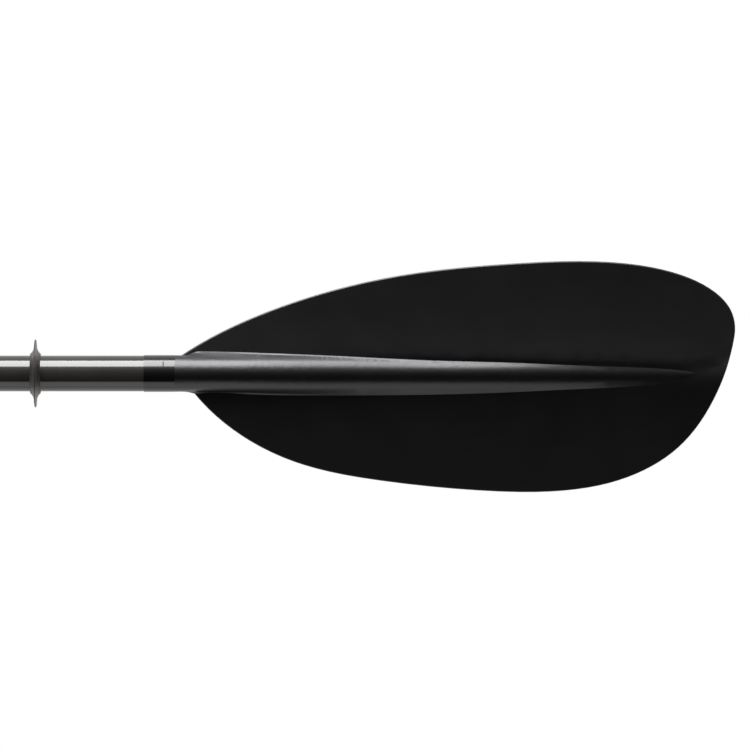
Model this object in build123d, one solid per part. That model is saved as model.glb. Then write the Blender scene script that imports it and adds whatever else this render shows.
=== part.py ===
from build123d import *
import math
import os

# Two-piece touring kayak paddle, millimetres, +Z up.
# The shaft lies along X: the right blade is at +X and the left blade is its mirror image.
# +Y is the long side of each blade's upper edge. The ribbed back faces look up (+Z) and the
# power faces look down. Everything is modelled about the shaft's axis and then lifted, so that
# the blade tips rest on the plane Z = 0 and the origin is on that plane under mid-length.

# ---- overall sizes ----
overall_length = 2100.0      # tip to tip, ferrule pushed home
blade_length = 447.0         # from the neck's shoulder to the tip
blade_width = 184.0          # widest, from the upper edge to the lower edge
tip_drop = 34.0              # how far the spooned tip drops below the neck

# ---- shaft, neck and band ----
shaft_d = 28.6               # 1-1/8 inch tube
shaft_wall = 1.2
neck_step = 0.2              # the round neck stands this far above the tube
band_length = 24.6
band_wall = 0.4
tenon_length = 70.0
tenon_wall = 3.55
bore_past_neck = 6.0         # the tenon's bore ends inside the round neck
plug_length = 25.0

# ---- blade ----
edge_thickness = 2.8         # plate at its rim
rim_radius = 1.1
ridge_rise = 6.0             # how far the back face rises toward the spine
ridge_width = 35.0
ridge_growth = 0.35          # share that the ridge gains by the tip
ridge_round = 7.0            # the soft crest of the ridge
power_hollow = 2.8           # how far the power face is hollowed under the ridge
spoon_lean = 0.26            # slant of the spoon's level lines, like the slant of the tip
plate_seat = 6.0             # power face below the shaft's axis at the neck
wing_step = 6.0              # how far the lower wing lies below the upper one, at most
step_late = 1.15             # the step is deepest a little past mid-blade
step_width = 4.0             # half the width over which it steps down, under the spine
step_start = 14.0            # the step's middle, above the shaft's axis, at the neck
step_end = 4.2               # and near the tip, where it turns back up
step_level = 0.95            # share of the blade's length over which it comes down
step_turn = 20.0
turn_share = 0.89            # share of the blade's length where it starts to turn
spine_bow = 3.3              # how far the spine bows toward the lower edge
bow_start = 40.0
bow_length = 200.0
lower_crown = 1.1            # the crown is this much rounder toward the lower wing
foot_round = 3.0             # concave foot of the spine
keel_depth = 10.0            # spine's belly below the power face, near the neck
keel_length = 200.0
spine_sink = 0.3             # spine's foot below the plate's faces

# ---- drip rings ----
drip_flange = 12.7           # how far the lip stands out from the shaft
drip_hub_half = 4.1
drip_hub_wall = 1.5
drip_lip_half = 0.6
drip_from_shoulder = 110.9

# ---- ferrule ----
ferrule_wall = 2.0
ferrule_reach = 210.0        # bare length past mid-length
ferrule_hold = 120.0         # length bonded in the left shaft
key_width = 3.0
key_depth = 0.85
rivet_r = 2.0
rivet_head_r = 3.5
rivet_head_rise = 0.8
rivet_spots = (60.0, 95.0)   # distances from mid-length
cap_flange = 2.0
cap_depth = 12.0
cap_wall = 2.0
stop_ring_length = 6.0
stop_ring_x = -8.0           # its working face
stop_ring_step = 1.7         # its outside stands this far above the tube

# ---- index ring ----
tick_step = 15
tick_depth = 0.4
tick_width = 0.6
tick_length = 2.8
long_tick = 1.5              # the 0 and 90 degree ticks are longer by this factor

# ---- clamp collar ----
collar_length = 60.0
collar_step = 3.2            # these steps are above the tube's outside
collar_end_step = 1.0
flange_step = 1.3
groove_step = 0.5
flange_length = 2.0
groove_length = 2.7
seal_length = 2.0
slit_width = 2.0
relief_gap = 2.5             # from the ears to the relief cut
relief_width = 1.5
relief_bite = 4.1            # how far the relief cut reaches past the bore's side
solid_length = 2.0           # from the relief cut to the seal ring
taper_length = 20.0
ear_thickness = 5.0
ear_start = 8.0
ear_width = 16.0
ear_corner = 3.0

# ---- lever, pin and tension screw ----
pin_r = 3.0
pin_from_collar = 5.0        # pin and screw axes, out from the collar's side
cam_wall = 1.5
cam_offset = 0.5
saddle_plate = 1.45
screw_r = 2.0
screw_head_r = 4.0
screw_head_height = 3.2
hex_r = 1.7
socket_depth = 1.9
washer_r = 4.5
washer_thickness = 0.8
fork_play = 0.5              # between the screw and each cam cheek
fork_depth = 5.5
cheek = 1.5                  # saddle's end cheek and its gap to the lever
arm_gap = 0.8
arm_thickness = 3.5
root_swell = 0.6             # the arm is thicker over the cam
lip_swell = 0.4              # the free end is a round lip, thicker than the arm
arm_angle = 36.0             # where the lever's free end lies, from +Y
arm_root_angle = 142.0

# ---- clearances ----
running = 0.05               # radial play of pieces that slide or turn on each other
free = 0.3                   # gap between bodies that only pass each other
hole_play = 0.2

# ---- worked out from the values above ----
shaft_r = shaft_d / 2
bore_r = shaft_r - shaft_wall
ferrule_r = bore_r - running
band_r = shaft_r + band_wall
neck_r = shaft_r + neck_step
tenon_bore_r = ferrule_r - tenon_wall
shoulder_x = overall_length / 2 - blade_length
collar_r = shaft_r + collar_step
flange_r = shaft_r + flange_step
groove_r = shaft_r + groove_step
ear_end = ear_start + ear_width
relief_start = ear_end + relief_gap
clamp_zone = relief_start + relief_width + solid_length     # split part, over the bare ferrule
shaft_start = clamp_zone + seal_length
ear_low = slit_width / 2
ear_top = ear_low + ear_thickness
cam_r = pin_r + cam_wall
pin_out = collar_r + pin_from_collar
ear_reach = pin_out + cam_r
pin_height = ear_top + saddle_plate + running + cam_offset + cam_r
fork_gap = 2 * (screw_r + fork_play)
right_plug_x = ferrule_reach + cap_flange + 3

# Outline of the blade: shares of its length from the shoulder, and of its width from the axis.
upper_edge = [
    (0.045, 0.130), (0.179, 0.281), (0.392, 0.421), (0.605, 0.477),
    (0.794, 0.480), (0.901, 0.430), (0.953, 0.372), (0.993, 0.272),
]
tip_point = (1.0, 0.196)
lower_edge = [
    (0.997, 0.137), (0.957, -0.134), (0.903, -0.311), (0.794, -0.462), (0.686, -0.510),
    (0.552, -0.509), (0.365, -0.464), (0.204, -0.375), (0.099, -0.236),
]

# Sections of the spine: share of the blade's length from the shoulder, then shares of the
# neck's radius: width from the axis to the upper foot, to the lower foot, and the crown's rise
# above the upper foot.
spine_stations = [
    (0.045, 1.310, 1.186, 0.970), (0.116, 1.262, 1.214, 0.915), (0.221, 1.138, 1.310, 0.752),
    (0.329, 0.972, 1.317, 0.497), (0.472, 0.745, 1.269, 0.303), (0.613, 0.621, 1.131, 0.172),
    (0.685, 0.517, 1.021, 0.098), (0.756, 0.434, 0.938, 0.048), (0.828, 0.372, 0.828, 0.027),
    (0.897, 0.241, 0.586, 0.014), (0.928, 0.103, 0.276, 0.005),
]
section_angles = range(-90, 91, 6)


def along_x(radius, start, end):
    """A round bar about the shaft's axis."""
    bar = Cylinder(radius, end - start, rotation=(0, 90, 0))
    return Pos((start + end) / 2, 0, 0) * bar


def tube(outer_r, inner_r, start, end):
    """A straight tube about the shaft's axis."""
    return along_x(outer_r, start, end) - along_x(inner_r, start - 1, end + 1)


def block(x_range, y_range, z_range):
    """A box from its low and high sides."""
    size = [high - low for low, high in (x_range, y_range, z_range)]
    middle = [(high + low) / 2 for low, high in (x_range, y_range, z_range)]
    return Pos(*middle) * Box(*size)


def mirrored(shape):
    """The same piece on the other half of the paddle."""
    return mirror(shape, about=Plane.YZ)


# ---- blade ----
def seat_height(u, v):
    """The power face without its hollow: a spoon whose level lines slant with the tip."""
    reach = max(u - spoon_lean * v, 0) / blade_length
    return -plate_seat - tip_drop * reach**2 - step_drop(u, v)


def step_drop(u, v):
    """The lower wing lies below the upper one; the step between them runs under the spine."""
    share = min(max(u / blade_length, 0), 1)
    turn = step_turn * (max(share / turn_share - 1, 0) / (1 / turn_share - 1)) ** 2
    line = step_end + (step_start - step_end) * max(1 - share / step_level, 0) ** 2 + turn
    depth = wing_step * math.sin(math.pi * share**step_late)
    return depth * (1 - math.tanh((v - line) / step_width)) / 2


def ridge_share(u, v):
    """The soft ridge along the middle, which fades toward the rim and grows toward the tip."""
    growth = 1 + ridge_growth * (max(u, 0) / blade_length) ** 2
    bow = min(max(u - bow_start, 0) / bow_length, 1)
    aside = v + spine_bow * math.sin(math.pi / 2 * bow)
    return growth * math.exp(-math.hypot(aside, ridge_round) / ridge_width)


def back_height(u, v):
    return seat_height(u, v) + edge_thickness + ridge_rise * ridge_share(u, v)


def power_height(u, v):
    return seat_height(u, v) + power_hollow * ridge_share(u, v)


def face_through(height):
    """A smooth face over the whole plate, through the heights that a formula gives."""
    rows = []
    for i in range(25):
        u = (-0.05 + 1.12 * i / 24) * blade_length
        row = []
        for j in range(91):
            v = (-0.6 + 1.2 * j / 90) * blade_width
            row.append(Vector(shoulder_x + u, v, height(u, v)))
        rows.append(row)
    return Face.make_surface_from_array_of_points(rows, tol=1e-3, min_deg=3, max_deg=5)


def blade_outline():
    """The plate's outline, closed inside the neck."""
    start = (0.010 * blade_length, 0.97 * neck_r)
    end = (0.031 * blade_length, -0.97 * neck_r)
    shares = upper_edge + [tip_point] + lower_edge
    points = [start] + [(u * blade_length, v * blade_width) for u, v in shares] + [end]
    points = [(shoulder_x + u, v) for u, v in points]
    rim = Spline(*points)
    return make_face(rim + Line(points[-1], points[0]))


def blade_plate():
    """The thin spooned plate with a rounded rim."""
    depth = 2 * tip_drop + 60         # reaches well past both faces
    prism = extrude(Pos(0, 0, -depth / 2) * blade_outline(), depth)
    above = Solid.extrude(face_through(power_height), Vector(0, 0, depth))
    below = Solid.extrude(face_through(back_height), Vector(0, 0, -depth))
    plate = prism & above & below
    rim_edges = [edge for edge in plate.edges() if edge.length > blade_length]
    return fillet(rim_edges, rim_radius)


def neck_section(u):
    """Round cross-section of the neck, with a short flat side where the spine's foot begins."""
    side = 0.5
    top = []
    for angle in section_angles:
        v = neck_r * math.sin(math.radians(angle))
        top.append((shoulder_x + u, v, side + (neck_r - side) * math.cos(math.radians(angle))))
    return closed_section(top, [(x, v, -z) for x, v, z in reversed(top)])


def flank_drop(reach, width, height, crown_r):
    """Drop below the crown at some reach from it: a round crown, a straight flank, a concave foot."""
    both = min(crown_r + foot_round, (width**2 + height**2) / (2 * height))
    far = math.hypot(both - height, width)
    tilt = math.atan2(width, both - height) - math.acos(min(both / far, 1))
    round_r = both * crown_r / (crown_r + foot_round)
    foot_r = both - round_r
    if reach < round_r * math.sin(tilt):
        return round_r - math.sqrt(round_r**2 - reach**2)
    left = max(width - reach, 0)
    if left < foot_r * math.sin(tilt):
        return height - foot_r + math.sqrt(foot_r**2 - left**2)
    return height - foot_r * (1 - math.cos(tilt)) - (left - foot_r * math.sin(tilt)) * math.tan(tilt)


def spine_section(share, upper, lower, rise):
    """One cross-section of the spine, from the lower wing over the crown to the upper wing."""
    u = share * blade_length
    belly = keel_depth * max(1 - u / keel_length, 0) ** 1.5
    crown = back_height(u, upper * neck_r) + rise * neck_r
    top = []
    bottom = []
    for angle in section_angles:
        t = math.sin(math.radians(angle))
        width = neck_r * (upper if t > 0 else lower)
        crown_r = neck_r * (1 if t > 0 else lower_crown)
        side = width if t > 0 else -width
        height = crown - back_height(u, side) + spine_sink
        v = width * t
        top.append((shoulder_x + u, v, crown - flank_drop(abs(v), width, height, crown_r)))
        keel = power_height(u, v) + spine_sink - belly * (1 - t * t)
        bottom.append((shoulder_x + u, v, keel))
    return closed_section(top, bottom[::-1])


def closed_section(top, bottom):
    """A face between an upper and a lower curve, closed by straight sides."""
    sides = [Line(top[-1], bottom[0]), Line(bottom[-1], top[0])]
    return Face(Wire([Spline(*top), sides[0], Spline(*bottom), sides[1]]))


def blade_spine():
    """Neck, spine on the back face and keel on the power face, in one smooth loft."""
    round_end = 0.016 * blade_length
    necks = [neck_section(0), neck_section(round_end / 2), neck_section(round_end)]
    return loft(necks + [spine_section(*station) for station in spine_stations])


def blade():
    """Moulded blade with a hollow tenon that is bonded into the shaft."""
    plate = blade_plate()
    spine = blade_spine()
    tenon = along_x(ferrule_r, shoulder_x - tenon_length, shoulder_x + 2)
    hollow = along_x(tenon_bore_r, shoulder_x - tenon_length - 1, shoulder_x + bore_past_neck)
    return plate + spine + tenon - hollow


def drip_ring(middle):
    """Flexible ring whose two flared faces meet in a thin round lip."""
    inner = shaft_r + running
    hub_r = shaft_r + drip_hub_wall
    lip_r = shaft_r + drip_flange
    extra = drip_hub_half - drip_lip_half
    height = lip_r - drip_lip_half - hub_r
    shares = [(1, 0), (0.457, 0.208), (0.171, 0.443), (0, 1)]
    flare = [(drip_lip_half + wide * extra, hub_r + high * height) for wide, high in shares]
    right = Spline(*flare)
    left = Spline(*[(-x, r) for x, r in reversed(flare)])
    lip = ThreePointArc(flare[-1], (0, lip_r), (-drip_lip_half, lip_r - drip_lip_half))
    foot = Polyline((-drip_hub_half, hub_r), (-drip_hub_half, inner), (drip_hub_half, inner), flare[0])
    ring = revolve(make_face(right + lip + left + foot), Axis.X)
    return Pos(middle, 0, 0) * ring


# ---- ferrule ----
def below_axis(radius, x):
    """A round bar from the shaft's axis straight down."""
    return Pos(x, 0, -shaft_d / 2) * Cylinder(radius, shaft_d)


def male_ferrule():
    """Tube bonded in the left shaft; a keyway along its top stops the index ring from turning."""
    body = tube(ferrule_r, ferrule_r - ferrule_wall, -ferrule_hold, ferrule_reach)
    keyway = block(
        (stop_ring_x, ferrule_reach + 1),
        (-key_width / 2, key_width / 2),
        (ferrule_r - key_depth, shaft_r),
    )
    return body - keyway - [below_axis(rivet_r, -x) for x in rivet_spots]


def ferrule_end_cap():
    """Plug that closes the ferrule's free end; its flange passes inside the key."""
    inner = ferrule_r - ferrule_wall
    plug = along_x(inner, ferrule_reach - cap_depth, ferrule_reach)
    flange = along_x(ferrule_r - key_depth - free, ferrule_reach, ferrule_reach + cap_flange)
    hollow = along_x(inner - cap_wall, ferrule_reach - cap_depth - 1, ferrule_reach - cap_wall)
    return plug + flange - hollow


def ferrule_rivets():
    """Blind rivets through the walls of the left shaft and the ferrule, on the underside."""
    rivets = []
    for x in rivet_spots:
        shank = below_axis(rivet_r, -x) & tube(shaft_r, ferrule_r - ferrule_wall, -x - shaft_r, -x + shaft_r)
        head = below_axis(rivet_head_r, -x) + Pos(0, 0, -shaft_r) * below_axis(rivet_head_r, -x)
        head = head & tube(shaft_r + rivet_head_rise, shaft_r, -x - shaft_r, -x + shaft_r)
        rivets.append((shank + head).solid())
    return Compound(children=rivets)


def left_shaft():
    """Bare tube from the left blade to the stop ring."""
    body = tube(shaft_r, bore_r, -shoulder_x, stop_ring_x - stop_ring_length)
    return body - [below_axis(rivet_r, -x) for x in rivet_spots]


# ---- index ring ----
def index_ring():
    """Keyed to the ferrule, it hooks over the collar's flange; its ticks show the feather angle."""
    start = stop_ring_x + free
    hook_end = flange_length + groove_length - free
    ring = tube(collar_r, ferrule_r + running, start, -free)
    skirt = tube(collar_r, flange_r + free, -free, hook_end)
    hook = tube(collar_r, groove_r + free, flange_length + free, hook_end)
    key = block(
        (start, -free),
        (-key_width / 2 + running, key_width / 2 - running),
        (ferrule_r - key_depth + 2 * running, collar_r - 1),
    )
    ticks = []
    for angle in range(-90, 91, tick_step):
        long = tick_length * (long_tick if angle % 90 == 0 else 1)
        mark = Pos(-free - long / 2, 0, collar_r) * Box(long, tick_width, 2 * tick_depth)
        ticks.append(Rot(X=angle) * mark)
    return ring + skirt + hook + key - ticks


# ---- clamp collar ----
def clamp_collar():
    """Moulded collar bonded on the right shaft; its split end clamps the bare ferrule."""
    neck_end = flange_length + groove_length
    taper_start = collar_length - taper_length
    body = along_x(collar_r, neck_end, taper_start)
    taper = Pos((taper_start + collar_length) / 2, 0, 0) * Cone(
        collar_r, shaft_r + collar_end_step, taper_length, rotation=(0, 90, 0)
    )
    flange = along_x(flange_r, 0, flange_length) + along_x(groove_r, 0, neck_end + 1)
    ears = block((ear_start, ear_end), (-ear_reach, -bore_r + 1), (-ear_top, ear_top))
    ears = fillet(ears.edges().filter_by(Axis.Z).group_by(Axis.Y)[0], ear_corner)
    bore = along_x(bore_r, -1, clamp_zone + 1) + along_x(shaft_r, clamp_zone, collar_length + 1)
    slit = block((-1, relief_start + relief_width), (-ear_reach - 1, -bore_r / 2), (-ear_low, ear_low))
    relief = block(
        (relief_start, relief_start + relief_width),
        (-ear_reach, relief_bite - bore_r),
        (-collar_r - 1, collar_r + 1),
    )
    mark = Pos(neck_end + 3, 0, collar_r) * Box(4, tick_width, 2 * tick_depth)
    return body + taper + flange + ears - bore - slit - relief - screw_hole(screw_r + hole_play) - mark


def screw_hole(radius):
    """A round bar along the tension screw's axis."""
    return Pos((ear_start + ear_end) / 2, -pin_out, 0) * Cylinder(radius, 4 * pin_height)


def screw_span(low, high):
    """A wide slab that cuts such a bar to its length."""
    return block((0, collar_length), (-2 * ear_reach, 0), (low, high))


def pin_bar(radius, start, end):
    """A round bar along the lever pin's axis."""
    return Pos(0, -pin_out, pin_height) * along_x(radius, start, end)


def cam_saddle():
    """Plate under the cam, with a cheek at each end that holds the lever pin."""
    ends = (ear_start - cheek, ear_end + cheek)
    plate = block(ends, (-pin_out - cam_r, -pin_out + cam_r), (ear_top, ear_top + saddle_plate))
    cheeks = []
    for x in (ends[0], ends[1] - cheek + free):
        post = block((x, x + cheek - free), (-pin_out - cam_r, -pin_out + cam_r), (ear_top, pin_height))
        cheeks.append(post + pin_bar(cam_r, x, x + cheek - free))
    body = plate + cheeks - screw_hole(screw_r + hole_play)
    return body - pin_bar(pin_r, ends[0] - 1, ends[1] + 1)


def lever_pin():
    """Barrel that the cam turns on; the tension screw passes through it."""
    pin = pin_bar(pin_r, ear_start - cheek, ear_end + cheek)
    return pin - screw_hole(screw_r + running)


def screw_washer():
    """Flat washer between the screw's head and the lower ear."""
    washer = screw_hole(washer_r) & screw_span(-ear_top - washer_thickness, -ear_top)
    return washer - screw_hole(screw_r + hole_play)


def clamp_screw():
    """Cap screw that sets the clamp's tension."""
    seat = -ear_top - washer_thickness - running
    shank = screw_hole(screw_r) & screw_span(seat - 1, pin_height + pin_r - free)
    head = screw_hole(screw_head_r) & screw_span(seat - screw_head_height, seat)
    socket = extrude(RegularPolygon(hex_r, 6), socket_depth)
    return shank + head - Pos((ear_start + ear_end) / 2, -pin_out, seat - screw_head_height) * socket


def on_circle(radius, angle):
    """A point in the plane across the shaft, at an angle from +Y toward +Z."""
    return (radius * math.cos(math.radians(angle)), radius * math.sin(math.radians(angle)))


def clamp_lever():
    """Cam lever: two cam cheeks on the pin and an arm that wraps over the collar."""
    inner = collar_r + arm_gap
    outer = inner + arm_thickness
    middle = (arm_root_angle + arm_angle) / 2
    arm = make_face(
        ThreePointArc(*[on_circle(inner, a) for a in (arm_root_angle, middle, arm_angle)])
        + Line(on_circle(inner, arm_angle), on_circle(outer, arm_angle))
        + ThreePointArc(*[on_circle(outer, a) for a in (arm_angle, middle, arm_root_angle)])
        + Line(on_circle(outer, arm_root_angle), on_circle(inner, arm_root_angle))
    )
    lip_y, lip_z = on_circle(outer - arm_thickness / 2 + lip_swell, arm_angle)
    lip = Pos(0, lip_y, lip_z) * along_x(arm_thickness / 2 + lip_swell, ear_start, ear_end)
    root_y, root_z = on_circle(outer, arm_root_angle)
    root = block((ear_start, ear_end), (-pin_out, root_y + 1), (pin_height - 1, root_z + root_swell))
    cam = Pos(0, 0, -cam_offset) * pin_bar(cam_r, ear_start, ear_end)
    body = extrude(Plane.YZ.offset(ear_start) * arm, ear_width) + lip + root + cam
    middle_x = (ear_start + ear_end) / 2
    gap = block(
        (middle_x - fork_gap / 2, middle_x + fork_gap / 2),
        (-pin_out - 2 * cam_r, -pin_out + fork_depth),
        (0, 3 * pin_height),
    )
    return body - gap - pin_bar(pin_r + running, 0, collar_length)


# ---- small round pieces ----
def neck_band():
    """Thin black band over the joint between shaft and blade."""
    return tube(band_r, shaft_r, shoulder_x - band_length, shoulder_x)


def outer_plug():
    """Foam plug against the blade's tenon."""
    end = shoulder_x - tenon_length
    return along_x(bore_r, end - plug_length, end)


moulded_blade = blade()
nodes = {
    "left_blade": mirrored(moulded_blade),
    "left_shaft": left_shaft(),
    "left_neck_band": mirrored(neck_band()),
    "left_outer_plug": mirrored(outer_plug()),
    "left_inner_plug": along_x(bore_r, -ferrule_hold - plug_length, -ferrule_hold),
    "male_ferrule": male_ferrule(),
    "ferrule_end_cap": ferrule_end_cap(),
    "ferrule_rivets": ferrule_rivets(),
    "left_stop_ring": tube(shaft_r + stop_ring_step, ferrule_r, stop_ring_x - stop_ring_length, stop_ring_x),
    "left_drip_ring": drip_ring(-shoulder_x + drip_from_shoulder),
    "index_ring": index_ring(),
    "clamp_collar": clamp_collar(),
    "seal_ring": tube(shaft_r, ferrule_r + running, clamp_zone, shaft_start),
    "cam_saddle": cam_saddle(),
    "lever_pin": lever_pin(),
    "clamp_lever": clamp_lever(),
    "screw_washer": screw_washer(),
    "clamp_screw": clamp_screw(),
    "right_inner_plug": along_x(bore_r, right_plug_x, right_plug_x + plug_length),
    "right_outer_plug": outer_plug(),
    "right_drip_ring": drip_ring(shoulder_x - drip_from_shoulder),
    "right_neck_band": neck_band(),
    "right_shaft": tube(shaft_r, bore_r, shaft_start, shoulder_x),
    "right_blade": moulded_blade,
}

os.makedirs("parts", exist_ok=True)
axis_height = -nodes["right_blade"].bounding_box().min.Z
for name, shape in nodes.items():
    export_step(Pos(0, 0, axis_height) * shape, f"parts/{name}.step")
print(f"shaft axis at Z = {axis_height:.3f}")
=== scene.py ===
import math

import bmesh
import bpy
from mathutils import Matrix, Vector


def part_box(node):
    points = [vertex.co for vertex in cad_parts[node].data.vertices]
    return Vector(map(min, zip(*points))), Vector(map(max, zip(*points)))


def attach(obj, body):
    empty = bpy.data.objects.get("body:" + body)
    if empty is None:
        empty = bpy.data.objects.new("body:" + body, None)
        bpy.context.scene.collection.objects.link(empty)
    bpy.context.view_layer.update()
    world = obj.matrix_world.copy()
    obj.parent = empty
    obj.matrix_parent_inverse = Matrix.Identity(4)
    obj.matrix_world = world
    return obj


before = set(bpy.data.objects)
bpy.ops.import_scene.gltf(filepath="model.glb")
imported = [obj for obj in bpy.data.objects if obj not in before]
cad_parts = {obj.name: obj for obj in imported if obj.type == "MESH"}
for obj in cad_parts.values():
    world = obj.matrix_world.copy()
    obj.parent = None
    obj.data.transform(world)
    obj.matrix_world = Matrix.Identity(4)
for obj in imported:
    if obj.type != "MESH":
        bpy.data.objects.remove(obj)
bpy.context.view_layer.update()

# ---------------------------------------------------------------------------------------------
# Studio: the paddle lies on a white light table and is seen from straight above with a long
# lens. One large softbox stands beyond its upper edge, white cards close the near side and the
# part under the softbox, and a little light spills from the softbox toward the camera.
# ---------------------------------------------------------------------------------------------


def linear(hex_colour):
    """An sRGB hex colour as linear red, green, blue and alpha."""
    parts = [int(hex_colour[i:i + 2], 16) / 255 for i in (1, 3, 5)]
    return [p / 12.92 if p <= 0.04045 else ((p + 0.055) / 1.055) ** 2.4 for p in parts] + [1.0]


def add_node(tree, kind, settings=None, links=None):
    """Adds one node: settings go to its inputs or properties, links to its inputs."""
    node = tree.nodes.new(kind)
    for key, value in (settings or {}).items():
        if isinstance(key, int) or key in node.inputs:
            node.inputs[key].default_value = value
        else:
            setattr(node, key, value)
    for key, socket in (links or {}).items():
        tree.links.new(socket, node.inputs[key])
    return node


shaft_low, shaft_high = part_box("right_shaft")
shaft_radius = (shaft_high.y - shaft_low.y) / 2
axis_height = (shaft_high.z + shaft_low.z) / 2
shoulder_x = shaft_high.x            # where the neck of the right blade starts

camera_distance = 6.0
camera_reach = 100.0
sensor_width = 36.0                  # millimetres
view_width = 0.59625
view_from_shoulder = 0.159           # middle of the view, toward the blade's tip
view_middle_y = -0.0012
camera_data = bpy.data.cameras.new("camera")
camera_data.sensor_width = sensor_width
camera_data.lens = sensor_width * camera_distance / view_width
camera_data.clip_end = camera_reach
camera = bpy.data.objects.new("camera", camera_data)
camera.location = (shoulder_x + view_from_shoulder, view_middle_y, axis_height + camera_distance)
bpy.context.scene.collection.objects.link(camera)
bpy.context.scene.camera = camera
bpy.context.scene.view_settings.view_transform = "Standard"

world = bpy.data.worlds.new("studio")
bpy.context.scene.world = world
world.use_nodes = True
tree = world.node_tree
tree.nodes.clear()
direction = add_node(tree, "ShaderNodeTexCoord").outputs["Generated"]
axes = add_node(tree, "ShaderNodeSeparateXYZ", links={0: direction})
# angle round the shaft from straight up toward +Y, in degrees, -180 to 180
turn = add_node(tree, "ShaderNodeMath", {"operation": "ARCTAN2"},
                {0: axes.outputs["Y"], 1: axes.outputs["Z"]})
around = add_node(tree, "ShaderNodeMath", {"operation": "DEGREES"}, {0: turn.outputs[0]}).outputs[0]
# angle along the shaft from the plane across it, in degrees, toward +X
lean = add_node(tree, "ShaderNodeMath", {"operation": "ARCSINE"}, {0: axes.outputs["X"]})
along = add_node(tree, "ShaderNodeMath", {"operation": "DEGREES"}, {0: lean.outputs[0]}).outputs[0]

# each edge of a lamp is a smooth step from 0 at its first angle to 1 at its second
edges = {}
for name, angle, start, end in (
    ("softbox_top", around, 44, 48), ("softbox_foot", around, 111, 107),
    ("softbox_left", along, -30, -24), ("softbox_right", along, 16, 8),
    ("spill_side", around, 48, 44), ("near_card", around, -52, -58), ("far_card", around, 107, 111),
):
    edges[name] = add_node(tree, "ShaderNodeMapRange", {
        "interpolation_type": "SMOOTHSTEP", "From Min": start, "From Max": end}, {0: angle}).outputs[0]
# the near card is full up to 7 degrees toward +X, and dims to half of that by 15
full_until, dim_from, dim_share = 7, 15, 0.5
card_fade = add_node(tree, "ShaderNodeMapRange", {
    "interpolation_type": "SMOOTHSTEP", "From Min": dim_from, "From Max": full_until,
    "To Min": dim_share}, {0: along}).outputs[0]
# the spill falls by a factor of e in each 14 degrees from the middle of the softbox's edge
spill_edge, spill_fall = 46, 14
spill_power = add_node(tree, "ShaderNodeMath", {
    "operation": "MULTIPLY_ADD", 1: 1 / spill_fall, 2: -spill_edge / spill_fall}, {0: around})
spill_curve = add_node(tree, "ShaderNodeMath", {"operation": "EXPONENT"},
                       {0: spill_power.outputs[0]}).outputs[0]

softbox_level = 14.5                 # in units of the white table's brightness
spill_level = 1.7
card_level = 1.35
light = None
for level, factors in (
    (softbox_level, [edges["softbox_top"], edges["softbox_foot"],
                     edges["softbox_left"], edges["softbox_right"]]),
    (spill_level, [spill_curve, edges["spill_side"]]),
    (card_level, [edges["near_card"], card_fade]),
    (card_level, [edges["far_card"]]),
):
    lamp = factors[0]
    for factor in factors[1:]:
        lamp = add_node(tree, "ShaderNodeMath", {"operation": "MULTIPLY"},
                        {0: lamp, 1: factor}).outputs[0]
    summed = add_node(tree, "ShaderNodeMath", {"operation": "MULTIPLY_ADD", 1: level, 2: 0.0},
                      {0: lamp})
    if light is not None:
        tree.links.new(light, summed.inputs[2])
    light = summed.outputs[0]
seen = add_node(tree, "ShaderNodeLightPath").outputs["Is Camera Ray"]
lit_world = add_node(tree, "ShaderNodeBackground", {"Color": linear("#ffffff")}, {"Strength": light})
seen_world = add_node(tree, "ShaderNodeBackground", {"Color": linear("#ffffff"), "Strength": 1.0})
both = add_node(tree, "ShaderNodeMixShader",
                links={0: seen, 1: lit_world.outputs[0], 2: seen_world.outputs[0]})
add_node(tree, "ShaderNodeOutputWorld", links={"Surface": both.outputs[0]})
world.cycles.sampling_method = "MANUAL"
world.cycles.sample_map_resolution = 1024

table_size = 60.0
table_gap = 0.0005                   # under the paddle's lowest point
bpy.ops.object.select_all(action="DESELECT")
bpy.ops.mesh.primitive_plane_add(size=table_size, location=(0, 0, -table_gap))
table_top = bpy.context.active_object
table_top.name = "light_table"
opal_acrylic = bpy.data.materials.new("opal_acrylic")
opal_acrylic.use_nodes = True
tree = opal_acrylic.node_tree
tree.nodes.clear()
glow = add_node(tree, "ShaderNodeEmission", {"Color": linear("#ffffff"), "Strength": 1.0})
add_node(tree, "ShaderNodeOutputMaterial", links={"Surface": glow.outputs[0]})
table_top.data.materials.append(opal_acrylic)

# ---------------------------------------------------------------------------------------------
# Shafts: two straight drawn tubes of 6061 aluminium, 28.6 mm across, anodised gunmetal grey and
# sealed. Drawing through the die leaves faint straight lines along the tube.
# ---------------------------------------------------------------------------------------------


def new_material(name):
    """An empty material, and the coordinates that its patterns read."""
    made = bpy.data.materials.new(name)
    made.use_nodes = True
    made.node_tree.nodes.clear()
    return made, add_node(made.node_tree, "ShaderNodeTexCoord").outputs["Object"]


def finish_on(node_names, made):
    """Gives CAD pieces a finish."""
    for name in node_names:
        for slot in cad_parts[name].material_slots:
            slot.material = made


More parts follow.
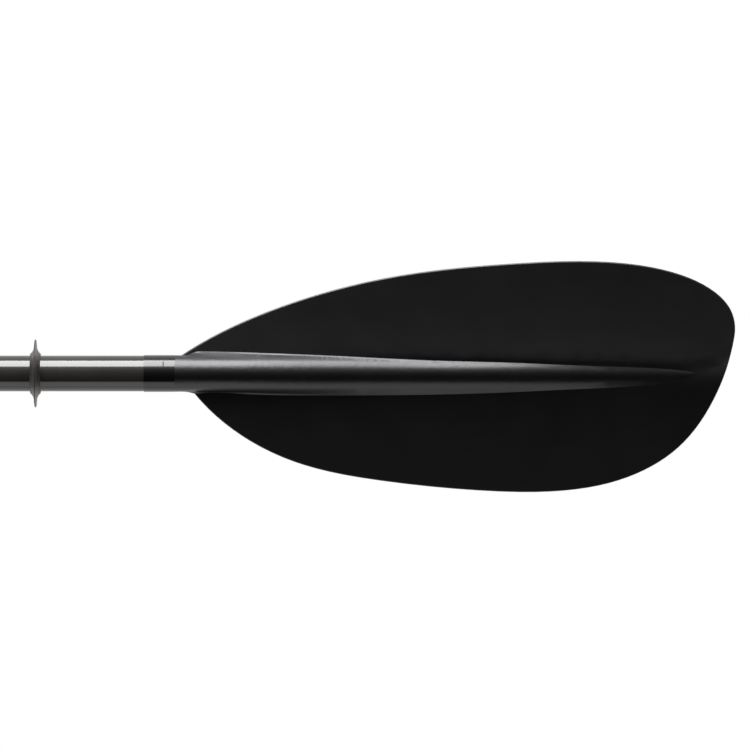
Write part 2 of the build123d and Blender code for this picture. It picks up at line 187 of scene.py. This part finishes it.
# Anodised aluminium with a sealed, glossy oxide: it mirrors the lamps in clean straight bands
# over a warm dark grey. The die lines are about 0.8 mm apart, coarser than real ones, to show.
gunmetal, place = new_material("gunmetal_anodised_aluminium")
tree = gunmetal.node_tree
stretched = add_node(tree, "ShaderNodeMapping", {"Scale": (9.0, 1250.0, 1250.0)}, {"Vector": place})
die_lines = add_node(tree, "ShaderNodeTexNoise", {"Scale": 1.0, "Detail": 2.0},
                     {"Vector": stretched.outputs[0]})
dye_patches = add_node(tree, "ShaderNodeTexNoise", {"Scale": 22.0, "Detail": 3.0}, {"Vector": place})
grey = add_node(tree, "ShaderNodeValToRGB", links={"Fac": dye_patches.outputs["Fac"]})
grey.color_ramp.elements[0].position = 0.35
grey.color_ramp.elements[0].color = linear("#242321")
grey.color_ramp.elements[1].position = 0.68
grey.color_ramp.elements[1].color = linear("#2a2926")
sheen = add_node(tree, "ShaderNodeMapRange",
                 {"From Min": 0.3, "From Max": 0.7, "To Min": 0.078, "To Max": 0.104},
                 {0: die_lines.outputs["Fac"]})
relief = add_node(tree, "ShaderNodeBump", {"Strength": 1.0, "Distance": 1.2e-6},
                  {"Height": die_lines.outputs["Fac"]})
surface = add_node(tree, "ShaderNodeBsdfPrincipled", {"IOR": 1.55}, {
    "Base Color": grey.outputs[0], "Roughness": sheen.outputs[0], "Normal": relief.outputs[0]})
add_node(tree, "ShaderNodeOutputMaterial", links={"Surface": surface.outputs[0]})
finish_on(["left_shaft", "right_shaft"], gunmetal)

# ---------------------------------------------------------------------------------------------
# Neck bands: a thin sleeve of gloss black vinyl, 24.6 mm long, heat shrunk over the joint
# between tube and blade. Each carries one small printed tick that sets the blade's angle.
# ---------------------------------------------------------------------------------------------

# Calendered gloss vinyl: nearly black, with sharp reflections that waver a little because the
# sleeve follows the tube under it, in waves about 5 mm long.
vinyl, place = new_material("gloss_black_shrink_vinyl")
tree = vinyl.node_tree
waver = add_node(tree, "ShaderNodeTexNoise", {"Scale": 210.0, "Detail": 1.0}, {"Vector": place})
dust = add_node(tree, "ShaderNodeTexNoise", {"Scale": 1500.0, "Detail": 2.0}, {"Vector": place})
gloss = add_node(tree, "ShaderNodeMapRange",
                 {"From Min": 0.35, "From Max": 0.75, "To Min": 0.14, "To Max": 0.18},
                 {0: dust.outputs["Fac"]})
black = add_node(tree, "ShaderNodeMix",
                 {"data_type": "RGBA", 6: linear("#080809"), 7: linear("#0c0c0d")},
                 {"Factor": dust.outputs["Fac"]})
relief = add_node(tree, "ShaderNodeBump", {"Strength": 1.0, "Distance": 8.0e-6},
                  {"Height": waver.outputs["Fac"]})
surface = add_node(tree, "ShaderNodeBsdfPrincipled", {"IOR": 1.5}, {
    "Base Color": black.outputs[2], "Roughness": gloss.outputs[0], "Normal": relief.outputs[0]})
add_node(tree, "ShaderNodeOutputMaterial", links={"Surface": surface.outputs[0]})
finish_on(["left_neck_band", "right_neck_band"], vinyl)

# Matt screen ink for the tick: it breaks the band's highlight with a dull dark mark. Its pits
# are those of a 0.3 mm screen mesh.
ink, place = new_material("matt_screen_ink")
tree = ink.node_tree
screen = add_node(tree, "ShaderNodeTexVoronoi", {"Scale": 3300.0}, {"Vector": place})
pits = add_node(tree, "ShaderNodeBump", {"Strength": 0.4, "Distance": 1.0e-5},
                {"Height": screen.outputs["Distance"]})
dull = add_node(tree, "ShaderNodeMapRange", {"To Min": 0.55, "To Max": 0.8},
                {0: screen.outputs["Distance"]})
surface = add_node(tree, "ShaderNodeBsdfPrincipled", {"Base Color": linear("#1c1b1b"), "IOR": 1.45}, {
    "Roughness": dull.outputs[0], "Normal": pits.outputs[0]})
add_node(tree, "ShaderNodeOutputMaterial", links={"Surface": surface.outputs[0]})


def arc_patch(name, middle_x, width, radius, start_angle, end_angle, thickness):
    """A patch wrapped on the shaft's axis, between two angles from straight up toward +Y."""
    one_per_degree = 360
    slack = 0.01                     # degrees, so that the vertices at both ends are kept
    bpy.ops.object.select_all(action="DESELECT")
    bpy.ops.mesh.primitive_cylinder_add(
        vertices=one_per_degree, radius=radius, depth=width, end_fill_type="NOTHING",
        location=(middle_x, 0, axis_height), rotation=(0, math.pi / 2, 0))
    patch = bpy.context.active_object
    patch.name = name
    bpy.ops.object.transform_apply(location=True, rotation=True, scale=True)
    bpy.ops.object.mode_set(mode="EDIT")
    bpy.ops.mesh.select_all(action="DESELECT")
    mesh = bmesh.from_edit_mesh(patch.data)
    for corner in mesh.verts:
        angle = math.degrees(math.atan2(corner.co.y, corner.co.z - axis_height))
        corner.select = not start_angle - slack < angle < end_angle + slack
    mesh.select_flush_mode()
    bmesh.update_edit_mesh(patch.data)
    bpy.ops.mesh.delete(type="VERT")
    bpy.ops.object.mode_set(mode="OBJECT")
    wall = patch.modifiers.new("wall", "SOLIDIFY")
    wall.thickness = thickness
    wall.offset = 0.0
    rounded = patch.modifiers.new("rounded", "BEVEL")
    rounded.width = thickness / 3
    rounded.segments = 3
    for modifier in (wall.name, rounded.name):
        bpy.ops.object.modifier_apply(modifier=modifier)
    bpy.ops.object.shade_smooth_by_angle(angle=math.radians(30))
    return patch


band_low, band_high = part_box("right_neck_band")
band_radius = (band_high.y - band_low.y) / 2
tick_from_shoulder = 0.0091
tick_width = 0.0008
tick_film = 0.00006
tick_start, tick_end = 21, 41        # degrees from straight up toward +Y
for side, half in ((1, "right"), (-1, "left")):
    tick = arc_patch(half + "_band_tick", side * (shoulder_x - tick_from_shoulder), tick_width,
                     band_radius + tick_film / 3, tick_start, tick_end, tick_film)
    tick.data.materials.append(ink)
    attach(tick, half + "_half")

# ---------------------------------------------------------------------------------------------
# Blades: each is one injection moulding in black nylon with short glass fibre. The mould was
# spark eroded, which leaves a fine even grain, and flow lines run out from the neck.
# ---------------------------------------------------------------------------------------------

# Moulded glass-filled nylon: a black satin with soft, cool reflections. The grain is drawn
# 0.9 mm wide where spark erosion leaves about 0.1 mm, the flow lines are 3 mm apart, and the
# satin drifts in patches 30 mm wide.
nylon, place = new_material("black_glass_filled_nylon")
tree = nylon.node_tree
grain = add_node(tree, "ShaderNodeTexNoise", {"Scale": 1100.0, "Detail": 2.0, "Roughness": 0.6},
                 {"Vector": place})
flow_place = add_node(tree, "ShaderNodeMapping", {"Scale": (9.0, 330.0, 60.0)}, {"Vector": place})
flow = add_node(tree, "ShaderNodeTexNoise", {"Scale": 1.0, "Detail": 2.0, "Distortion": 0.6},
                {"Vector": flow_place.outputs[0]})
patches = add_node(tree, "ShaderNodeTexNoise", {"Scale": 34.0, "Detail": 4.0}, {"Vector": place})
flow_depth = 0.3                     # of the flow lines, where the grain's is 1
low_flow = add_node(tree, "ShaderNodeMath", {"operation": "MULTIPLY", 1: flow_depth},
                    {0: flow.outputs["Fac"]})
height = add_node(tree, "ShaderNodeMath", {"operation": "ADD"},
                  {0: grain.outputs["Fac"], 1: low_flow.outputs[0]})
tone = add_node(tree, "ShaderNodeMix",
                {"data_type": "RGBA", 6: linear("#010102"), 7: linear("#050506")},
                {"Factor": flow.outputs["Fac"]})
satin = add_node(tree, "ShaderNodeMapRange",
                 {"From Min": 0.3, "From Max": 0.7, "To Min": 0.33, "To Max": 0.36},
                 {0: patches.outputs["Fac"]})
relief = add_node(tree, "ShaderNodeBump", {"Strength": 1.0, "Distance": 5.0e-6},
                  {"Height": height.outputs[0]})
surface = add_node(tree, "ShaderNodeBsdfPrincipled", {
    "IOR": 1.53, "Specular Tint": (0.985, 0.965, 1.0, 1.0)}, {
    "Base Color": tone.outputs[2], "Roughness": satin.outputs[0], "Normal": relief.outputs[0]})
add_node(tree, "ShaderNodeOutputMaterial", links={"Surface": surface.outputs[0]})
finish_on(["left_blade", "right_blade"], nylon)

# ---------------------------------------------------------------------------------------------
# Drip rings: soft rings of smoky thermoplastic elastomer that are stretched over the shaft and
# grip it. Two flared faces meet in a thin lip, which throws water off before it reaches a hand.
# ---------------------------------------------------------------------------------------------

# Moulded elastomer: a warm smoky grey with blurred reflections and 0.5 mm pores. Light comes
# through the thin flares, a bloom in 2 mm patches varies its tone, and a trace of sheen makes
# it lighter at a low angle.
elastomer, place = new_material("moulded_elastomer")
tree = elastomer.node_tree
bloom = add_node(tree, "ShaderNodeTexNoise", {"Scale": 480.0, "Detail": 4.0}, {"Vector": place})
pores = add_node(tree, "ShaderNodeTexNoise", {"Scale": 2100.0, "Detail": 2.0}, {"Vector": place})
smoke = add_node(tree, "ShaderNodeMix",
                 {"data_type": "RGBA", 6: linear("#3a312d"), 7: linear("#5e524b")},
                 {"Factor": bloom.outputs["Fac"]})
matt = add_node(tree, "ShaderNodeMapRange",
                {"From Min": 0.3, "From Max": 0.7, "To Min": 0.36, "To Max": 0.48},
                {0: bloom.outputs["Fac"]})
relief = add_node(tree, "ShaderNodeBump", {"Strength": 1.0, "Distance": 9.0e-6},
                  {"Height": pores.outputs["Fac"]})
surface = add_node(tree, "ShaderNodeBsdfPrincipled", {
    "IOR": 1.4, "Transmission Weight": 0.85, "Sheen Weight": 0.05, "Sheen Roughness": 0.5}, {
    "Base Color": smoke.outputs[2], "Roughness": matt.outputs[0], "Normal": relief.outputs[0]})
add_node(tree, "ShaderNodeOutputMaterial", links={"Surface": surface.outputs[0]})
finish_on(["left_drip_ring", "right_drip_ring"], elastomer)

# ---------------------------------------------------------------------------------------------
# Foam plugs: pushed down the tubes and glued, so that each half floats and stays dry inside.
# They are cut from closed-cell polyethylene foam rod.
# ---------------------------------------------------------------------------------------------

# Extruded polyethylene foam: pale grey and soft, with cells of about 1.2 mm that are open
# where the rod was cut. The grey darkens toward the middle of each open cell, where the bump
# sinks it: that is painted shade in the hollows.
foam, place = new_material("closed_cell_polyethylene_foam")
tree = foam.node_tree
cells = add_node(tree, "ShaderNodeTexVoronoi", {"Scale": 830.0}, {"Vector": place})
# painted shade: the grey is darkest at the deepest point of each cell hollow
pale_with_painted_cell_shade = add_node(tree, "ShaderNodeMix",
                {"data_type": "RGBA", 6: linear("#9c9a94"), 7: linear("#c6c4bd")},
                {"Factor": cells.outputs["Distance"]})
hollows = add_node(tree, "ShaderNodeBump", {"Strength": 0.8, "Distance": 2.0e-4},
                   {"Height": cells.outputs["Distance"]})
surface = add_node(tree, "ShaderNodeBsdfPrincipled", {"Roughness": 0.85, "IOR": 1.45}, {
    "Base Color": pale_with_painted_cell_shade.outputs[2], "Normal": hollows.outputs[0]})
add_node(tree, "ShaderNodeOutputMaterial", links={"Surface": surface.outputs[0]})
finish_on(["left_outer_plug", "left_inner_plug", "right_outer_plug", "right_inner_plug"], foam)

# ---------------------------------------------------------------------------------------------
# Ferrule: a close-fitting tube bonded and riveted in the left shaft. It slides in the collar,
# and the length marks engraved along its top show how far the paddle is drawn out.
# ---------------------------------------------------------------------------------------------

# Turned and clear anodised aluminium: light grey with turning rings 1 mm apart. The marks,
# 0.6 mm wide every 10 mm and longer every 50 mm, are filled with black.
turned, place = new_material("turned_anodised_aluminium")
tree = turned.node_tree
apart = add_node(tree, "ShaderNodeSeparateXYZ", links={0: place})
one_ring_each_mm = 1000.0 / 3.2      # the wave repeats each 0.314 of its coordinate
rings = add_node(tree, "ShaderNodeTexWave", {
    "wave_type": "BANDS", "bands_direction": "X", "Scale": one_ring_each_mm, "Distortion": 0.4},
    {"Vector": place})
millimetres = add_node(tree, "ShaderNodeMath", {"operation": "MULTIPLY", 1: 1000.0},
                       {0: apart.outputs["X"]}).outputs[0]
across = add_node(tree, "ShaderNodeMath", {"operation": "ABSOLUTE"}, {0: apart.outputs["Y"]}).outputs[0]
above = add_node(tree, "ShaderNodeMath", {"operation": "GREATER_THAN", 1: axis_height},
                 {0: apart.outputs["Z"]}).outputs[0]
mark_half_width = 0.3                # millimetres
short_pitch, short_reach = 10.0, 0.0045      # pitch in millimetres, reach to each side in metres
long_pitch, long_reach = 50.0, 0.0075
marks = None
for pitch, reach in ((short_pitch, short_reach), (long_pitch, long_reach)):
    phase = add_node(tree, "ShaderNodeMath", {"operation": "PINGPONG", 1: pitch / 2},
                     {0: millimetres}).outputs[0]
    on_line = add_node(tree, "ShaderNodeMath", {"operation": "LESS_THAN", 1: mark_half_width},
                       {0: phase}).outputs[0]
    in_reach = add_node(tree, "ShaderNodeMath", {"operation": "LESS_THAN", 1: reach},
                        {0: across}).outputs[0]
    line = add_node(tree, "ShaderNodeMath", {"operation": "MULTIPLY"},
                    {0: on_line, 1: in_reach}).outputs[0]
    if marks is not None:
        line = add_node(tree, "ShaderNodeMath", {"operation": "MAXIMUM"},
                        {0: line, 1: marks}).outputs[0]
    marks = line
marks = add_node(tree, "ShaderNodeMath", {"operation": "MULTIPLY"}, {0: marks, 1: above}).outputs[0]
grey = add_node(tree, "ShaderNodeMix",
                {"data_type": "RGBA", 6: linear("#8f9194"), 7: linear("#101011")},
                {"Factor": marks})
metal = add_node(tree, "ShaderNodeMath", {"operation": "SUBTRACT", 0: 1.0}, {1: marks})
brightness = add_node(tree, "ShaderNodeMapRange", {"To Min": 0.24, "To Max": 0.34},
                      {0: rings.outputs["Fac"]})
relief = add_node(tree, "ShaderNodeBump", {"Strength": 1.0, "Distance": 2.0e-6},
                  {"Height": rings.outputs["Fac"]})
surface = add_node(tree, "ShaderNodeBsdfPrincipled", None, {
    "Base Color": grey.outputs[2], "Metallic": metal.outputs[0],
    "Roughness": brightness.outputs[0], "Normal": relief.outputs[0]})
add_node(tree, "ShaderNodeOutputMaterial", links={"Surface": surface.outputs[0]})
finish_on(["male_ferrule"], turned)

# ---------------------------------------------------------------------------------------------
# Small mouldings: the ferrule's end cap, the stop ring at the end of the left shaft, and the
# clamp collar that is bonded on the right shaft and split where it grips the ferrule.
# ---------------------------------------------------------------------------------------------

# Moulded nylon with glass fibre: charcoal and satin, with a leather-like grain in 0.7 mm cells
# so that wet fingers hold it.
moulded, place = new_material("grained_charcoal_nylon")
tree = moulded.node_tree
leather = add_node(tree, "ShaderNodeTexVoronoi", {"feature": "SMOOTH_F1", "Scale": 1400.0},
                   {"Vector": place})
scuffs = add_node(tree, "ShaderNodeTexNoise", {"Scale": 120.0, "Detail": 5.0, "Roughness": 0.65},
                  {"Vector": place})
charcoal = add_node(tree, "ShaderNodeMix",
                    {"data_type": "RGBA", 6: linear("#0d0d0e"), 7: linear("#191a1b")},
                    {"Factor": scuffs.outputs["Fac"]})
satin = add_node(tree, "ShaderNodeMapRange",
                 {"From Min": 0.3, "From Max": 0.7, "To Min": 0.36, "To Max": 0.5},
                 {0: scuffs.outputs["Fac"]})
relief = add_node(tree, "ShaderNodeBump", {"Strength": 0.8, "Distance": 3.0e-5},
                  {"Height": leather.outputs["Distance"]})
surface = add_node(tree, "ShaderNodeBsdfPrincipled", {"IOR": 1.53}, {
    "Base Color": charcoal.outputs[2], "Roughness": satin.outputs[0], "Normal": relief.outputs[0]})
add_node(tree, "ShaderNodeOutputMaterial", links={"Surface": surface.outputs[0]})
finish_on(["ferrule_end_cap", "left_stop_ring", "clamp_collar"], moulded)

# ---------------------------------------------------------------------------------------------
# Index ring: keyed to the ferrule and hooked on the collar. The ticks moulded in its rim, one
# each 15 degrees, are filled with white and show the angle between the blades.
# ---------------------------------------------------------------------------------------------

# Acetal with filled marks: a smooth, waxy black with turning haze in 1.4 mm patches, and white
# paint wherever the surface lies a little below the rim, in the ticks' floors.
ring_low, ring_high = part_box("index_ring")
ring_radius = (ring_high.y - ring_low.y) / 2
paint_top = 0.00015                  # depths below the rim
paint_bottom = 0.00055
paint_start = ring_low.x + 0.001     # 1 mm in from the ring's end face
paint_end = -0.00031                 # just short of its shoulder at the collar
acetal, place = new_material("black_acetal_with_white_fill")
tree = acetal.node_tree
apart = add_node(tree, "ShaderNodeSeparateXYZ", links={0: place})
rise = add_node(tree, "ShaderNodeMath", {"operation": "SUBTRACT", 1: axis_height},
                {0: apart.outputs["Z"]})
flat = add_node(tree, "ShaderNodeCombineXYZ", links={"X": apart.outputs["Y"], "Y": rise.outputs[0]})
radius = add_node(tree, "ShaderNodeVectorMath", {"operation": "LENGTH"},
                  {0: flat.outputs[0]}).outputs["Value"]
below_rim = add_node(tree, "ShaderNodeMath", {"operation": "LESS_THAN", 1: ring_radius - paint_top},
                     {0: radius})
past_floor = add_node(tree, "ShaderNodeMath",
                      {"operation": "GREATER_THAN", 1: ring_radius - paint_bottom}, {0: radius})
before_joint = add_node(tree, "ShaderNodeMath", {"operation": "LESS_THAN", 1: paint_end},
                        {0: apart.outputs["X"]})
past_start = add_node(tree, "ShaderNodeMath", {"operation": "GREATER_THAN", 1: paint_start},
                      {0: apart.outputs["X"]})
paint = below_rim.outputs[0]
for limit in (past_floor, before_joint, past_start):
    paint = add_node(tree, "ShaderNodeMath", {"operation": "MULTIPLY"},
                     {0: paint, 1: limit.outputs[0]}).outputs[0]
haze = add_node(tree, "ShaderNodeTexNoise", {"Scale": 700.0, "Detail": 3.0}, {"Vector": place})
filled = add_node(tree, "ShaderNodeMix",
                  {"data_type": "RGBA", 6: linear("#121213"), 7: linear("#e6e4de")},
                  {"Factor": paint})
wax = add_node(tree, "ShaderNodeMapRange",
               {"From Min": 0.3, "From Max": 0.7, "To Min": 0.26, "To Max": 0.36},
               {0: haze.outputs["Fac"]})
relief = add_node(tree, "ShaderNodeBump", {"Strength": 1.0, "Distance": 6.0e-6},
                  {"Height": haze.outputs["Fac"]})
surface = add_node(tree, "ShaderNodeBsdfPrincipled", {"IOR": 1.48}, {
    "Base Color": filled.outputs[2], "Roughness": wax.outputs[0], "Normal": relief.outputs[0]})
add_node(tree, "ShaderNodeOutputMaterial", links={"Surface": surface.outputs[0]})
finish_on(["index_ring"], acetal)

# ---------------------------------------------------------------------------------------------
# Seal ring: a soft ring in the collar, between the clamp's grip and the end of the shaft, that
# wipes grit off the ferrule and keeps water out.
# ---------------------------------------------------------------------------------------------

# Nitrile rubber: deep black and matt, with 0.4 mm mould texture.
nitrile, place = new_material("black_nitrile_rubber")
tree = nitrile.node_tree
texture = add_node(tree, "ShaderNodeTexNoise", {"Scale": 2500.0, "Detail": 2.0}, {"Vector": place})
black = add_node(tree, "ShaderNodeMix",
                 {"data_type": "RGBA", 6: linear("#0b0b0b"), 7: linear("#161616")},
                 {"Factor": texture.outputs["Fac"]})
relief = add_node(tree, "ShaderNodeBump", {"Strength": 1.0, "Distance": 1.5e-5},
                  {"Height": texture.outputs["Fac"]})
surface = add_node(tree, "ShaderNodeBsdfPrincipled", {"Roughness": 0.7, "IOR": 1.5}, {
    "Base Color": black.outputs[2], "Normal": relief.outputs[0]})
add_node(tree, "ShaderNodeOutputMaterial", links={"Surface": surface.outputs[0]})
finish_on(["seal_ring"], nitrile)

# ---------------------------------------------------------------------------------------------
# Clamp lever: an over-centre cam lever in nylon that turns on a steel pin and wraps over the
# collar. Raised bars across its outside give a thumb its grip.
# ---------------------------------------------------------------------------------------------

# Moulded nylon, a shade lighter than the collar: satin, with its grain rubbed smooth where it
# is handled, in patches about 6 mm wide.
handled, place = new_material("handled_black_nylon")
tree = handled.node_tree
fine = add_node(tree, "ShaderNodeTexNoise", {"Scale": 1600.0, "Detail": 2.0}, {"Vector": place})
rubbed = add_node(tree, "ShaderNodeTexNoise", {"Scale": 160.0, "Detail": 3.0}, {"Vector": place})
black = add_node(tree, "ShaderNodeMix",
                 {"data_type": "RGBA", 6: linear("#101011"), 7: linear("#1d1e20")},
                 {"Factor": fine.outputs["Fac"]})
satin = add_node(tree, "ShaderNodeMapRange",
                 {"From Min": 0.35, "From Max": 0.65, "To Min": 0.27, "To Max": 0.45},
                 {0: rubbed.outputs["Fac"]})
relief = add_node(tree, "ShaderNodeBump", {"Strength": 1.0, "Distance": 1.0e-5},
                  {"Height": fine.outputs["Fac"]})
surface = add_node(tree, "ShaderNodeBsdfPrincipled", {"IOR": 1.53}, {
    "Base Color": black.outputs[2], "Roughness": satin.outputs[0], "Normal": relief.outputs[0]})
add_node(tree, "ShaderNodeOutputMaterial", links={"Surface": surface.outputs[0]})
finish_on(["clamp_lever"], handled)

lever_low, lever_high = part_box("clamp_lever")
arm_over_shaft = 0.0075
arm_outside = shaft_radius + arm_over_shaft  # radius of the arm's outside, over the collar
bar_height = 0.0012                  # about a third of it stands out of the arm
bar_inset = 0.0016
bar_count = 6
first_bar, bar_pitch, bar_half = 2, 8, 2     # degrees
for number in range(1, bar_count + 1):
    angle = first_bar + bar_pitch * (number - 1)
    bar = arc_patch(f"lever_grip_bar_{number}", (lever_low.x + lever_high.x) / 2,
                    lever_high.x - lever_low.x - 2 * bar_inset, arm_outside - bar_height / 6,
                    angle - bar_half, angle + bar_half, bar_height)
    bar.data.materials.append(handled)
    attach(bar, "lever")

# ---------------------------------------------------------------------------------------------
# Clamp hardware and rivets: saddle plate, lever pin, cap screw and washer draw the collar's
# ears together, and two blind rivets hold the ferrule. All are stainless steel.
# ---------------------------------------------------------------------------------------------

# Tumbled stainless steel: bright and slightly warm, blurred by fine scratches in every
# direction that are drawn 0.4 mm wide.
stainless, place = new_material("tumbled_stainless_steel")
tree = stainless.node_tree
scratches = add_node(tree, "ShaderNodeTexNoise", {"Scale": 2400.0, "Detail": 4.0, "Distortion": 1.5},
                     {"Vector": place})
stain = add_node(tree, "ShaderNodeTexNoise", {"Scale": 300.0, "Detail": 2.0}, {"Vector": place})
bright = add_node(tree, "ShaderNodeMix",
                  {"data_type": "RGBA", 6: linear("#a19f9b"), 7: linear("#bdbbb6")},
                  {"Factor": stain.outputs["Fac"]})
blur = add_node(tree, "ShaderNodeMapRange",
                {"From Min": 0.3, "From Max": 0.7, "To Min": 0.24, "To Max": 0.38},
                {0: scratches.outputs["Fac"]})
relief = add_node(tree, "ShaderNodeBump", {"Strength": 1.0, "Distance": 4.0e-6},
                  {"Height": scratches.outputs["Fac"]})
surface = add_node(tree, "ShaderNodeBsdfPrincipled", {"Metallic": 1.0}, {
    "Base Color": bright.outputs[2], "Roughness": blur.outputs[0], "Normal": relief.outputs[0]})
add_node(tree, "ShaderNodeOutputMaterial", links={"Surface": surface.outputs[0]})
finish_on(["cam_saddle", "lever_pin", "screw_washer", "clamp_screw", "ferrule_rivets"], stainless)
